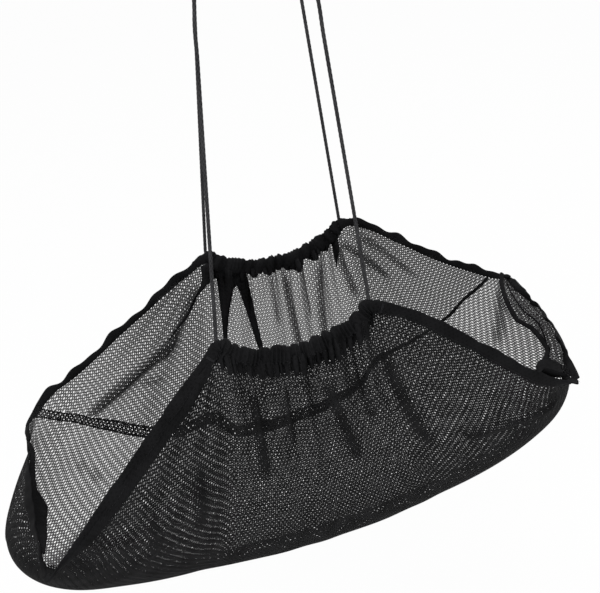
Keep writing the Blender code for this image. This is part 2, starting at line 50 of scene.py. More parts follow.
# Camera at the photograph's viewing angle: from the front left, down into the mouth of the
# sling, with the picture turned a little.
camera_place = (-0.24489, -1.05038, 0.195)
aim = math.radians(14)
tilt = math.radians(30)
roll = math.radians(7.5)
ahead = Vector((math.sin(aim) * math.cos(tilt), math.cos(aim) * math.cos(tilt), -math.sin(tilt)))
level = Vector((math.cos(aim), -math.sin(aim), 0))
upright = level.cross(ahead)
right = level * math.cos(roll) - upright * math.sin(roll)
up = level * math.sin(roll) + upright * math.cos(roll)
lens = bpy.data.cameras.new("camera")
lens.sensor_width = 36
lens.lens = 62.4
camera = added("camera", lens)
camera.matrix_world = Matrix.Translation(camera_place) @ Matrix((right, up, -ahead)).transposed().to_4x4()
bpy.context.scene.camera = camera

# Drawcord handles: each is one braided cord, 4 mm thick, from its left slit through a knot
# at the hanging point to its right slit. Knots and upper bends lie above the photograph's edge.
TURN = 2 * math.pi
CORD_DIAMETER = 0.004
STRAND_LAY = 0.0058          # cord over which a strand goes once round
HANG_HEIGHT = 0.4            # hanging point above the level of the gathers
AXIS_RISE = 0.0026           # hinge line above the rim
LEG_TOP_Z = -0.046
KNOT_SCALE = 0.0023
SLITS = {-1: dict(left=-0.107, right=0.07, y=-0.1, z=0.001),
         1: dict(left=-0.071, right=0.106, y=0.1, z=0.007)}
LEG_TOPS = {-1: ((-0.067, -0.076), (0.053, -0.076)), 1: ((-0.034, 0.076), (0.079, 0.076))}


def unit(vectors):
    return vectors / np.maximum(np.linalg.norm(vectors, axis=-1, keepdims=True), 1e-12)


def run_length(points):
    steps = np.linalg.norm(np.diff(points, axis=0), axis=-1)
    return np.concatenate(([0.0], np.cumsum(steps)))


def through(points, stations):
    """Smooth curve through points given as (station, x, y, z): cubic between each two, with
    slopes averaged from both sides."""
    points = np.array(points, float)
    knots = points[:, :1]
    values = points[:, 1:]
    slopes = np.gradient(values, knots[:, 0], axis=0)
    a = np.clip(np.searchsorted(knots[:, 0], stations, side="right") - 1, 0, len(knots) - 2)
    span = knots[a + 1] - knots[a]
    share = (stations[:, None] - knots[a]) / span
    start = values[a] * (1 + 2 * share) * (1 - share) ** 2
    end = values[a + 1] * share ** 2 * (3 - 2 * share)
    leave = slopes[a] * share * (1 - share) ** 2
    arrive = slopes[a + 1] * share ** 2 * (share - 1)
    return start + end + span * (leave + arrive)


def each(places, known, columns):
    """Several columns of values, linear between the places where they are known."""
    return np.stack([np.interp(places, known, column) for column in columns.T], -1)


def smooth_path(points, spacing):
    """Evenly spaced points along the smooth curve through a few."""
    points = np.array(points, float)
    reach = run_length(points)
    fine = through(np.column_stack((reach, points)), np.linspace(0, reach[-1], 3000))
    length = run_length(fine)
    return each(np.linspace(0, length[-1], int(length[-1] / spacing) + 1), length, fine)


def maths(operation, swapped=False):
    """Method of Value for one operation of a maths node."""
    def method(self, *others):
        operands = (*others, self) if swapped else (self, *others)
        return self.node("ShaderNodeMath", enumerate(operands), operation=operation)
    return method


class Value:
    """A socket of a material's nodes, with arithmetic, so that a pattern reads as a formula."""

    __add__ = maths("ADD")
    __sub__ = maths("SUBTRACT")
    __rsub__ = maths("SUBTRACT", swapped=True)
    __mul__ = maths("MULTIPLY")
    sine = maths("SINE")
    cosine = maths("COSINE")
    most = maths("MAXIMUM")

    def __init__(self, tree, socket=None):
        self.tree = tree
        self.socket = socket

    def node(self, kind, sockets=(), output=0, **settings):
        """Node of a kind: its settings first, then the values or links of its sockets."""
        made = self.tree.nodes.new(kind)
        for name, setting in settings.items():
            setattr(made, name, setting)
        for name, value in dict(sockets).items():
            if isinstance(value, Value):
                self.tree.links.new(value.socket, made.inputs[name])
            else:
                made.inputs[name].default_value = value
        return Value(self.tree, made.outputs[output])

    def smooth(self, low, high):
        """0 below low, 1 above high and an S-shaped rise between them."""
        sockets = {"Value": self, "From Min": low, "From Max": high}
        return self.node("ShaderNodeMapRange", sockets, interpolation_type="SMOOTHSTEP")

    def noise(self, scale, detail):
        return self.node("ShaderNodeTexNoise", {"Vector": self, "Scale": scale, "Detail": detail})


def cloth(name, dark, light, roughness, pattern, height, gaps=None):
    """Finish of threads or strands. Its relief is a formula of the piece's own UV, in metres.
    The colour goes from dark in the hollows to light on the threads: painted shade and painted light that
    follow the relief, with uneven dye and lint.
    With gaps, light passes between the loops by the piece's looseness."""
    made = bpy.data.materials.new(name)
    made.use_nodes = True
    shader = made.node_tree.nodes["Principled BSDF"]
    shader.inputs["Specular IOR Level"].default_value = 0.06
    start = Value(made.node_tree)
    place = start.node("ShaderNodeTexCoord", output="Object")
    uv = start.node("ShaderNodeUVMap")
    relief = pattern(*(start.node("ShaderNodeSeparateXYZ", {"Vector": uv}, axis) for axis in "XY"))
    dye = place.noise(35.0, 3.0).smooth(0.35, 0.68)
    lint = place.noise(2600.0, 2.0)
    # The relief's share of the colour is painted shade in the hollows and painted light on the threads; dye
    # and lint vary at random.
    share = relief * 0.45 + dye * 0.35 + lint.smooth(0.52, 0.75) * 0.25
    colour = start.node("ShaderNodeMix", {0: share, 6: (*dark, 1.0), 7: (*light, 1.0)}, 2, data_type="RGBA")
    rough = lint * 0.16 + (roughness - 0.08)
    bumps = {"Height": relief + lint * 0.25, "Distance": height, "Strength": 0.7}
    normal = start.node("ShaderNodeBump", bumps)
    links = {"Base Color": colour, "Roughness": rough, "Normal": normal}
    if gaps:
        loose = start.node("ShaderNodeAttribute", output="Fac", attribute_name="looseness")
        links["Alpha"] = 1 - gaps(relief) * loose
    for socket, value in links.items():
        made.node_tree.links.new(value.socket, shader.inputs[socket])
    return made


def mesh_object(name, points, triangles, finish, uv, looseness=None):
    """Object from arrays of points and triangles, with a UV for each corner."""
    mesh = bpy.data.meshes.new(name)
    mesh.from_pydata(np.asarray(points).tolist(), [], np.asarray(triangles).tolist())
    mesh.uv_layers.new(name="UVMap").data.foreach_set("uv", uv.astype(np.float32).ravel())
    if looseness is not None:
        layer = mesh.attributes.new("looseness", "FLOAT", "POINT")
        layer.data.foreach_set("value", looseness.astype(np.float32))
    mesh.materials.append(finish)
    mesh.shade_smooth()
    return added(name, mesh)


def cells(grid):
    """Both triangles of each cell of a grid, from the values at its corners."""
    four = np.stack((grid[:-1, :-1], grid[1:, :-1], grid[1:, 1:], grid[:-1, 1:]), 2)
    return np.concatenate((four[:, :, :3], four[:, :, (0, 2, 3)])).reshape(-1, 3, *grid.shape[2:])


def ringed_object(name, rings, finish, looped=False, turns=False, flip=False):
    """Closed surface: each ring of points joined to the next, and a fan over both ends, or the
    last ring joined to the first. UV in metres, or across in turns from 0 to 1."""
    count, width = rings.shape[:2]
    index = np.arange(count * width).reshape(count, width)
    index = np.concatenate((index, index[:, :1]), 1)
    along = run_length(rings.mean(1))
    if looped:
        index = np.concatenate((index, index[:1]))
        along = np.append(along, along[-1] + along[1])
    middle = rings[count // 2]
    around = run_length(np.concatenate((middle, middle[:1])))
    if turns:
        around = around / around[-1]
    triangles = cells(index)
    places = cells(np.stack(np.meshgrid(along, around, indexing="ij"), -1))
    points = rings.reshape(-1, 3)
    if not looped:
        tip = np.full(width, len(points))
        points = np.concatenate((points, rings[:1].mean(1), rings[-1:].mean(1)))
        ends = np.concatenate((np.stack((tip, index[0, :-1], index[0, 1:]), -1),
                               np.stack((tip + 1, index[-1, 1:], index[-1, :-1]), -1)))
        triangles = np.concatenate((triangles, ends))
        places = np.concatenate((places, np.zeros((len(ends), 3, 2))))
    if flip:
        triangles = triangles[:, ::-1]
        places = places[:, ::-1]
    return mesh_object(name, points, triangles, finish, places)


def braided(path, radius, looped=False, sides=28):
    """Rings of a cord, square to its path, with four strands each way round as a low relief.
    No path here runs along Y, so that rings take their turn from it."""
    if looped:
        along = unit(np.roll(path, -1, axis=0) - np.roll(path, 1, axis=0))
    else:
        along = unit(np.gradient(path, axis=0))
    aside = unit(np.cross(along, (0.0, 1.0, 0.0)))[:, None]
    other = np.cross(along[:, None], aside)
    turn = (TURN * np.arange(sides) / sides)[:, None]
    length = run_length(path)[:, None, None]
    relief = np.maximum(np.sin(4 * turn + TURN * length / STRAND_LAY),
                        np.sin(4 * turn - TURN * length / STRAND_LAY))
    ring = aside * np.cos(turn) + other * np.sin(turn)
    return path[:, None] + ring * (radius - 0.00012 + 0.00018 * relief)


def braid(u, v):
    """Strands that cross round the cord. v is the turn round it, from 0 to 1."""
    one = (v * (4 * TURN) + u * (TURN / STRAND_LAY)).sine()
    other = (v * (4 * TURN) - u * (TURN / STRAND_LAY)).sine()
    return one.most(other).smooth(0.0, 1.0)


# The darker colour holds the painted shade between the strands, the lighter one the painted light on them.
CORD = cloth("braided_cord", (0.014, 0.014, 0.015), (0.058, 0.058, 0.061), 0.62, braid, 0.0002)


def dress(piece, slot, *nodes, body="sling"):
    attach(piece, body)
    if nodes:
        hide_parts(*nodes)


def slit_exit(side, end):
    """Where the cord comes up through the left or right slit of a rim."""
    slit = SLITS[side]
    return np.array((slit[end], slit["y"], slit["z"] + AXIS_RISE - HANG_HEIGHT))


# Each has two straight legs, their bends at the top, and a trefoil knot in their middle
for name, side, node in (("front_drawcord", -1, "front_handle"), ("back_drawcord", 1, "back_handle")):
    tops = LEG_TOPS[side]
    middle = np.array(((tops[0][0] + tops[1][0]) / 2, tops[0][1], 0.0))
    legs = []
    for start, top in zip((slit_exit(side, "left"), slit_exit(side, "right")), tops):
        shoulder = np.array((*top, LEG_TOP_Z))
        leg = [start + (shoulder - start) * share for share in np.linspace(0, 0.97, 9)]
        for turn in np.radians((28, 52, 72)):
            aside = (middle[0] - shoulder[0]) * (1 - math.cos(turn))
            leg.append(shoulder + np.array((aside, 0.0, -LEG_TOP_Z * math.sin(turn))))
        legs.append(leg)
    path = smooth_path(legs[0] + [middle] + legs[1][::-1], 0.0008)
    cord = ringed_object(name, braided(path, CORD_DIAMETER / 2), CORD, turns=True)
    dress(cord, "braided_cord", node + "_left_leg", node + "_right_leg", body=node)
    turn = np.linspace(0, TURN, 220, endpoint=False)
    trefoil = np.stack((np.sin(turn) + 2 * np.sin(2 * turn), -np.sin(3 * turn),
                        np.cos(turn) - 2 * np.cos(2 * turn)), -1)
    rings = braided(middle + trefoil * KNOT_SCALE, CORD_DIAMETER / 2, looped=True)
    knot = ringed_object(name + "_knot", rings, CORD, looped=True, turns=True)
    dress(knot, "braided_cord", node + "_knot", body=node)

# The pouch: one long piece of knitted mesh, and a second one above the lap seam of the back
# wall. It hangs from both rims like a boat, each rim with a gather between two straight
# hems, and its folds spread out from the gathers.
SLIT_STATION = 0.33          # stations run from -1 at the left end to 1 at the right
GATHER_SAG = 0.031
CORNERS = {
    -1: dict(left=(-0.352, -0.15, -0.219), right=(0.33, -0.125, -0.183),
             left_lifts=((0.1, 0.003), (0.5, 0.004)),
             right_lifts=((0.13, 0.011), (0.5, 0.005), (0.78, -0.006))),
    1: dict(left=(-0.345, 0.15, -0.21), right=(0.361, 0.125, -0.16),
            left_lifts=((0.1, 0.004), (0.4, 0.011), (0.7, 0.014), (0.9, 0.019)),
            right_lifts=((0.13, 0.01), (0.35, 0.005), (0.55, -0.002), (0.79, -0.003))),
}
BELLY_DEPTH = 0.391
BELLY_RISE = 0.127
LEFT_REACH = 0.393
RIGHT_REACH = 0.377
LEFT_TURN = math.radians(118)
RIGHT_TURN = math.radians(113)
RIGHT_END_LIFT = 0.058
MIDDLE_FULLNESS = 0.92
END_FULLNESS = 1.64
WALL_BULGES = {-1: 0.026, 1: 0.02}
TURN_SLOPE = 0.45
TURN_REACH = 0.08
CASING_WIDTH = 0.015
HOLE_PITCH = 0.0069          # between holes along a row
ROW_PITCH = 0.0049           # between rows
CLOTH_SPAN = 0.495           # metres of cloth for each unit of station
LAST_STATION = 0.99          # of the holes, under the end hems
LARGE_HOLE = 0.00165         # middle to corner
SMALL_HOLES = {-1: 0.66, 1: 0.74}   # share of the room between three large ones
THREAD_DEPTH = 0.0005


def ease(value, low, high):
    share = np.clip((value - low) / (high - low), 0.0, 1.0)
    return share * share * (3 - 2 * share)


def rim_points(side):
    """A whole rim from its left corner, along the sagging gather, to its right corner."""
    slit = SLITS[side]
    corner = CORNERS[side]
    found = []
    for share in (-1.0, -0.76, -0.4, 0.0, 0.4, 0.76, 1.0):
        x = (slit["left"] + slit["right"]) / 2 + (slit["right"] - slit["left"]) / 2 * share
        drop = GATHER_SAG * math.cos(share * math.pi / 2) ** 0.8 if abs(share) < 1 else 0.0
        found.append((share * SLIT_STATION, x, slit["y"], slit["z"] - drop - HANG_HEIGHT))
    for sign, end in ((-1, "left"), (1, "right")):
        near = np.array((slit[end], slit["y"], slit["z"]))
        far = np.array(corner[end])
        for share, lift in (*corner[end + "_lifts"], (1.0, 0.0)):
            place = near + (far - near) * share + np.array((0.0, 0.0, lift - HANG_HEIGHT))
            found.append((sign * (SLIT_STATION + (1 - SLIT_STATION) * share), *place))
    return sorted(found)


RIMS = {-1: rim_points(-1), 1: rim_points(1)}


def keel(stations):
    """Lowest line of the pouch: part of an ellipse that turns up into both end walls."""
    share = np.linspace(-1, 1, 801)
    left = share < 0
    angle = np.where(left, share * LEFT_TURN, share * RIGHT_TURN)
    x = np.where(left, LEFT_REACH, RIGHT_REACH) * np.sin(angle)
    lift = np.where(left, 0.0, RIGHT_END_LIFT) * np.abs(share) ** 2.5
    z = -BELLY_DEPTH + BELLY_RISE * (1 - np.cos(angle)) + lift - HANG_HEIGHT
    line = np.stack((x, z), -1)
    length = run_length(line)
    return each(stations, 2 * length / length[-1] - 1, line)


def half_sections(side, stations):
    """Half of each cross-section, from a rim down to the keel: sine across and cosine down,
    bellied outwards, and passing under beside each corner."""
    angle = side * np.linspace(math.pi / 2, 0, 91)
    here = stations[:, None]
    front = through(RIMS[-1], stations)
    back = through(RIMS[1], stations)
    middle = (front + back) / 2
    half = (back - front) / 2
    low = middle.copy()
    low[:, 0::2] = keel(stations)
    upright = np.abs(np.cos(angle))
    fullness = MIDDLE_FULLNESS + (END_FULLNESS - MIDDLE_FULLNESS) * ease(np.abs(here), 0.78, 1.0)
    roundness = 2 - 0.8 * ease(-here, 0.78, 1.0)
    down = np.stack((upright ** roundness, upright + 0 * here, upright ** fullness), -1)
    points = (middle[:, None] + half[:, None] * np.sin(angle)[..., None]
              + (low - middle)[:, None] * down)
    double = np.sin(2 * angle)
    points[..., 1] += WALL_BULGES[side] * (1 - np.abs(here) ** 3) * double
    from_end = 1 - np.abs(here)
    inwards = TURN_SLOPE * from_end * np.exp(-from_end / TURN_REACH) * double ** 2
    points[..., 0] -= 0.85 * np.sign(here) * inwards
    points[..., 2] -= 0.5 * inwards
    return points


STATIONS = np.linspace(-1, 1, 1001)
GRID_ROWS = 161


class Wall:
    """One half of the cloth, from its rim to the keel, as a fine grid with its folds."""

    def __init__(self, side):
        self.side = side
        sections = half_sections(side, STATIONS)
        lengths = np.stack([run_length(section) for section in sections])
        self.half = lengths[:, -1]
        below = np.linspace(0, 1, GRID_ROWS) * self.half[:, None]
        self.plain = np.stack([each(*lines) for lines in zip(below, lengths, sections)])
        self.plain_normals = self.find_normals(self.plain)
        height = lift(side, STATIONS[:, None], below, self.half[:, None])
        self.grid = self.plain + self.plain_normals * height[..., None]
        self.normals = self.find_normals(self.grid)
        self.rim = through(RIMS[side], STATIONS)
        self.reach = self.casing_reach()

    def find_normals(self, grid):
        return unit(np.cross(np.gradient(grid, axis=1), np.gradient(grid, axis=0))) * -self.side

    def casing_reach(self):
        """Length below the rim at which each section is a casing's width away from the rim."""
        index = np.arange(len(STATIONS))
        near = self.rim[(index[:, None] + np.arange(-60, 61, 3)).clip(0, index[-1])]
        away = np.linalg.norm(self.plain[:, :60, None] - near[:, None], axis=3).min(2)
        clear = np.argmax(away > CASING_WIDTH, axis=1)
        low = away[index, clear - 1]
        share = (CASING_WIDTH - low) / (away[index, clear] - low)
        return (clear - 1 + share) / (GRID_ROWS - 1) * self.half

    def half_at(self, station):
        return np.interp(station, STATIONS, self.half)

    def reach_at(self, station):
        return np.interp(station, STATIONS, self.reach)

    def at(self, station, below, raised=0.0, plain=False):
        """Point and outward normal at a station and a length below the rim."""
        i = np.clip((station + 1) / 2 * (len(STATIONS) - 1), 0, len(STATIONS) - 1.001)
        j = np.minimum(np.clip(below / self.half_at(station), 0, 1) * (GRID_ROWS - 1), GRID_ROWS - 1.001)
        a = i.astype(int)
        b = j.astype(int)
        p = (i - a)[..., None]
        q = (j - b)[..., None]
        grids = (self.plain, self.plain_normals) if plain else (self.grid, self.normals)
        point, normal = (grid[a, b] * (1 - p) * (1 - q) + grid[a + 1, b] * p * (1 - q)
                         + grid[a, b + 1] * (1 - p) * q + grid[a + 1, b + 1] * p * q for grid in grids)
        normal = unit(normal)
        return point + normal * np.asarray(raised)[..., None], normal


def fan(station, below, slit, count, phase):
    """Folds that spread out from a slit over the hem beside it: a wave of the angle round it."""
    beside = (np.abs(station) - SLIT_STATION) * CLOTH_SPAN
    away = np.hypot(beside, below)
    turn = np.arctan2(below, beside)
    onside = ease(station * slit, SLIT_STATION - 0.02, SLIT_STATION + 0.08)
    fade = np.exp(-away / 0.14) * ease(away, 0.02, 0.07)
    return np.cos(count * turn + phase) * fade * onside


# Folds of each wall: station and length below the rim of one end, the same of the other
# end, width and height. Those of the front wall stand outwards, of the back wall inwards.
FOLDS = {
    -1: ((0.84, 0.088, 0.664, 0.14, 0.008, 0.0055),
         (0.7, 0.125, 0.5, 0.195, 0.009, 0.005),
         (-0.22, 0.05, -0.2, 0.185, 0.0085, 0.006),
         (-0.088, 0.045, -0.085, 0.14, 0.007, 0.0045),
         (0.094, 0.045, 0.165, 0.19, 0.0085, 0.0065),
         (0.21, 0.06, 0.27, 0.15, 0.008, 0.0045),
         (0.345, 0.05, 0.412, 0.225, 0.0085, 0.0065),
         (-0.45, 0.1, -0.42, 0.22, 0.009, 0.0045),
         (-0.62, 0.09, -0.55, 0.2, 0.008, 0.004)),
    1: ((-0.735, 0.158, -0.625, 0.23, 0.003, 0.0036),
        (0.955, 0.004, 0.72, 0.175, 0.0042, 0.0062),
        (-0.365, 0.03, -0.51, 0.104, 0.0054, 0.007),
        (-0.43, 0.088, -0.78, 0.091, 0.0088, 0.0086),
        (-0.5, 0.128, -0.58, 0.108, 0.004, 0.0034),
        (0.028, 0.012, 0.06, 0.17, 0.006, 0.007),
        (-0.05, 0.012, -0.03, 0.11, 0.005, 0.004),
        (0.12, 0.012, 0.13, 0.12, 0.0048, 0.0045),
        (0.2, 0.012, 0.175, 0.16, 0.0058, 0.0066),
        (0.3, 0.02, 0.36, 0.13, 0.0055, 0.006),
        (0.31, 0.03, 0.51, 0.086, 0.005, 0.006),
        (0.36, 0.018, 0.62, 0.06, 0.0045, 0.0045)),
}


def ridges(side, station, below):
    """Height of a wall's folds: each is a bell curve of the distance from its line."""
    total = 0.0
    for start, top, end, foot, width, height in FOLDS[side]:
        across = (station - start) * CLOTH_SPAN
        down = below - top
        run = (end - start) * CLOTH_SPAN
        fall = foot - top
        share = ((across * run + down * fall) / (run ** 2 + fall ** 2)).clip(0, 1)
        away = np.hypot(across - share * run, down - share * fall)
        ends = ease(share, 0.0, 0.2) * (1 - ease(share, 0.75, 1.0))
        total = total + height * np.exp(-(away / width) ** 2) * ends
    return total


def pleated(wave):
    """A wave with flatter tops and steeper sides."""
    return np.tanh(1.8 * np.cos(wave)) / 0.947


PLEATS = 24                  # small ones along a gather


def gather_folds(station, below, half, turn):
    """Small pleats at the gather, wider folds further down, each fading as the next takes over."""
    inside = 1 - ease(np.abs(station), 0.3, 0.4)
    across = TURN * station / (2 * SLIT_STATION)
    start = ease(below, 0.006, 0.02)
    small = 0.0028 * pleated(PLEATS * across + 1.7 * np.sin(5 * across + turn)) * np.exp(-below / 0.028)
    middle = 0.004 * pleated(9 * across + 1.3 * np.sin(3 * across - turn)) * np.exp(-below / 0.07)
    wide = 0.0065 * np.cos(4.5 * across + 0.9 * np.sin(2 * across + 2 * turn)) * np.exp(-below / 0.16)
    return (small + middle + wide) * inside * start * (1 - ease(below / half, 0.72, 1.0))


# Size and turn of the gather's folds, then height, count and phase of the fans at both slits
LIFTS = {-1: (1.0, 0.4, (0.0035, 13, 0.5), (0.003, 13, 1.8)),
         1: (1.25, 1.9, (0.005, 17, 0.2), (0.0045, 15, 1.1))}


def lift(side, station, below, half):
    size, turn, left, right = LIFTS[side]
    spread = left[0] * fan(station, below, -1, *left[1:]) + right[0] * fan(station, below, 1, *right[1:])
    return size * gather_folds(station, below, half, turn) + spread - side * ridges(side, station, below)


WALLS = {-1: Wall(-1), 1: Wall(1)}


def loops(u, v):
    """Knitted loops: rows of small arches, three to a hole."""
    arch = (u * (3 * TURN / HOLE_PITCH)).sine()
    row = (v * (3 * TURN / ROW_PITCH) + arch * 1.3).cosine()
    return row * 0.5 + 0.5


def between_loops(relief):
    """Slack between neighbouring loops, where some light comes through."""
    return (1 - relief).smooth(0.45, 0.85)


# The darker colour holds the painted shade in the hollows, the lighter one the painted light on the loops.
KNIT = cloth("black_knit", (0.0024, 0.0024, 0.0026), (0.02, 0.02, 0.021), 0.78, loops, 0.00016,
             between_loops)


def knit_lattice(first, last, rows):
    """Corners of the lattice's triangles, in pitches along and rows down. Every second row is
    moved by half a pitch."""
    found = []
    a = np.arange(first, last + 1)
    for b in range(rows):
        here, below = (np.stack((a + 0.5 * (row % 2), 0 * a + row), -1) for row in (b, b + 1))
        if b % 2 == 0:
            found += [(here[:-1], here[1:], below[:-1]), (here[1:], below[1:], below[:-1])]
        else:
            found += [(here[:-1], below[1:], below[:-1]), (here[:-1], here[1:], below[1:])]
    return np.concatenate([np.stack(corners, 1) for corners in found])


def knit_piece(name, corners, place, finish, large, loose, small=SMALL_HOLES[1]):
    """Knitted cloth with real holes over lattice triangles: each corner is the middle of a large
    hole, each triangle has a small one in its middle, and a collar of thread goes round them."""
    shapes = []
    size = np.array((HOLE_PITCH, ROW_PITCH))
    large = np.broadcast_to(large, corners.shape[:2])
    for near, far in ((0, 1), (1, 0), (1, 2), (2, 1), (2, 0), (0, 2)):
        way = corners[:, far] - corners[:, near]
        long = np.linalg.norm(way * size, axis=1)
        shapes.append(corners[:, near] + way * (LARGE_HOLE * large[:, near] / long)[:, None])
    middle = corners.mean(1)
    inner = (small * large.mean(1))[:, None]
    for k in range(3):
        edge = (corners[:, k] + corners[:, (k + 1) % 3]) / 2
        shapes.append(middle + (edge - middle) * inner)
    flat = np.stack(shapes, 1)
    points, normals = place(flat)
    deep = points - normals * THREAD_DEPTH
    pattern = []
    for k in range(3):
        ab = 2 * k
        ba = 2 * k + 1
        bc = (2 * k + 2) % 6
        here = 6 + k
        after = 6 + (k + 1) % 3
        pattern += [(ab, ba, here), (ba, bc, after), (ba, after, here)]
        pattern += [(bc, ba, ba + 9), (bc, ba + 9, bc + 9)]
        pattern += [(here, after, after + 9), (here, after + 9, here + 9)]
    pattern = np.array(pattern)
    triangles = (np.arange(len(corners))[:, None, None] * 18 + pattern).reshape(-1, 3)
    metres = np.concatenate((flat, flat), 1) * size
    uv = metres[:, pattern.ravel()].reshape(-1, 2)
    loose = np.repeat(np.broadcast_to(loose, corners.shape[:2]).mean(1), 18)
    return mesh_object(name, np.concatenate((points, deep), 1).reshape(-1, 3), triangles, finish, uv, loose)


def row_spacing(station):
    """Rows lie further apart down a section where the rim slopes, as they run square to it."""
    return ROW_PITCH * (1 + 0.34 * ease(np.abs(station), 0.1, 0.8))


def lattice_place(wall, flat):
    """Station and length below the rim of lattice points."""
    station = np.clip(flat[..., 0] * HOLE_PITCH / CLOTH_SPAN, -LAST_STATION, LAST_STATION)
    below = wall.reach_at(station) * 0.32 + flat[..., 1] * row_spacing(station)
    return station, np.clip(below, 0, wall.half_at(station))


# Lap seam: (station, length of cloth below the back rim)
SEAM_LINE = ((-0.955, 0.01), (-0.8, 0.072), (-0.67, 0.133), (-0.52, 0.202), (-0.42, 0.236),
             (-0.23, 0.262), (0.0, 0.249), (0.29, 0.246), (0.47, 0.197), (0.63, 0.131),
             (0.76, 0.069), (0.895, 0.012))


def profile(points, places, **outside):
    """Values of a line of points, linear between them."""
    return np.interp(places, *np.array(points).T, **outside)


def seam_below(station):
    return profile(SEAM_LINE, station, left=-1.0, right=-1.0)


# Where the cloth hangs slack below the stretched part of the back wall: (station, length)
SLACK_LINE = ((-0.84, 0.315), (-0.74, 0.302), (-0.68, 0.296), (-0.6, 0.252), (-0.51, 0.2),
              (-0.43, 0.168), (-0.32, 0.142), (0.25, 0.15), (0.39, 0.13), (0.62, 0.134),
              (0.69, 0.156), (0.72, 0.215), (0.78, 0.262), (0.84, 0.33))


def openness(side, station, below):
    """Size of the holes and slack between the loops. Folds draw both together. On the back
    wall the gather is stretched open, the upper panel is drawn closer, and the belly has
    small holes and slack threads."""
    folded = np.clip(ridges(side, station, below) / 0.006, 0, 1)
    gathered = 1 - ease(np.abs(station), 0.26, 0.4)
    if side < 0:
        size = 0.78 + 0.05 * ease(below, 0.03, 0.2)
        slack = 0.02 + 0 * station
    else:
        upper = 1 - ease(below - seam_below(station), -0.006, 0.002)
        drawn = upper * ease(station, -0.74, -0.5)
        belly = ease(below - profile(SLACK_LINE, station, right=1.0), 0.0, 0.02)
        belly_slack = 0.15 + 0.37 * ease(station, -0.62, -0.5)
        size = (0.79 - 0.1 * drawn + 0.14 * gathered) * (1 - belly) + 0.5 * belly
        slack = (0.22 - 0.08 * drawn + 0.12 * gathered) * (1 - belly) + belly_slack * belly
    return size * (1 - (0.52 - 0.07 * side) * folded), slack * (1 - 0.9 * folded)


LAST_COLUMN = int(LAST_STATION * CLOTH_SPAN / HOLE_PITCH) + 1
MOST_ROWS = 95               # more than the longest half section takes
for side, wall in WALLS.items():
    corners = knit_lattice(-LAST_COLUMN, LAST_COLUMN, MOST_ROWS)
    station, below = lattice_place(wall, corners)
    inside = (below < wall.half_at(station)).any(1)
    corners, station, below = corners[inside], station[inside], below[inside]
    large, loose = openness(side, station, below)
    station, below = station.mean(1), below.mean(1)
    if side < 0:
        parts = {"knit_front_left": station < 0, "knit_front_right": station >= 0}
    else:
        lapped = np.abs(below - seam_below(station)) < 0.0045 * (1 - ease(station, -0.15, 0.25))
        upper = below < seam_below(station)
        parts = {"knit_back_upper": upper & ~lapped,
                 "knit_back_lower_left": ~upper & ~lapped & (station < 0),
                 "knit_back_lower_right": ~upper & ~lapped & (station >= 0)}
    for name, chosen in parts.items():
        piece = knit_piece(name, corners[chosen], lambda flat: wall.at(*lattice_place(wall, flat)), KNIT,
                           large[chosen], loose[chosen], SMALL_HOLES[side])
        node = "mesh_back_panel" if name == "knit_back_upper" else "mesh_main_panel"
        dress(piece, "knitted_mesh", node)

# Lap seam of the back wall: a doubled strip of the same mesh, laid over both panels and
# sewn down along its two edges. It is pulled narrow towards the right.
SEAM_ROWS = 4
SEAM_COLUMNS = (-68, 64)


def seam_height(station):
    """Height of one row of the seam's lattice."""
    return ROW_PITCH * (0.66 + 0.24 * ease(station, -0.8, -0.6) - 0.64 * ease(station, -0.05, 0.55))


def on_seam(flat):
    station = np.clip((flat[..., 0] + 0.35) * HOLE_PITCH / CLOTH_SPAN, -0.953, 0.893)
    below = seam_below(station) + (flat[..., 1] - SEAM_ROWS / 2) * seam_height(station)
    return WALLS[1].at(station, np.maximum(below, 0.004), -0.0012)


def dimples(u, v):
    """Closed-up holes of the knit, on a folded double layer."""
    spot = (u * (TURN / HOLE_PITCH)).cosine() * (v * (TURN / ROW_PITCH / 2)).cosine()
    return loops(u, v) * 0.45 + spot.smooth(0.2, 0.85) * -0.45 + 0.5


# The darker colour holds the painted shade in the closed-up holes, the lighter one the painted light on the
# loops.
FOLDED = cloth("folded_knit", (0.002, 0.002, 0.0022), (0.013, 0.013, 0.014), 0.82, dimples, 0.00022,
               between_loops)
corners = knit_lattice(*SEAM_COLUMNS, SEAM_ROWS)
share = 0.64 - 0.38 * ease(corners[..., 0] * HOLE_PITCH / CLOTH_SPAN, -0.02, 0.45)
dress(knit_piece("lap_seam", corners, on_seam, FOLDED, share, 0.05, 0.5), "hem_tape", "back_seam")


def twist(u, v):
    return ((v * TURN) + u * (TURN / 0.0011)).sine() * 0.5 + 0.5


# The darker colour holds the painted shade in the twist, the lighter one the painted light on the thread.
THREAD = cloth("thread", (0.006, 0.006, 0.007), (0.03, 0.03, 0.032), 0.6, twist, 0.00008)


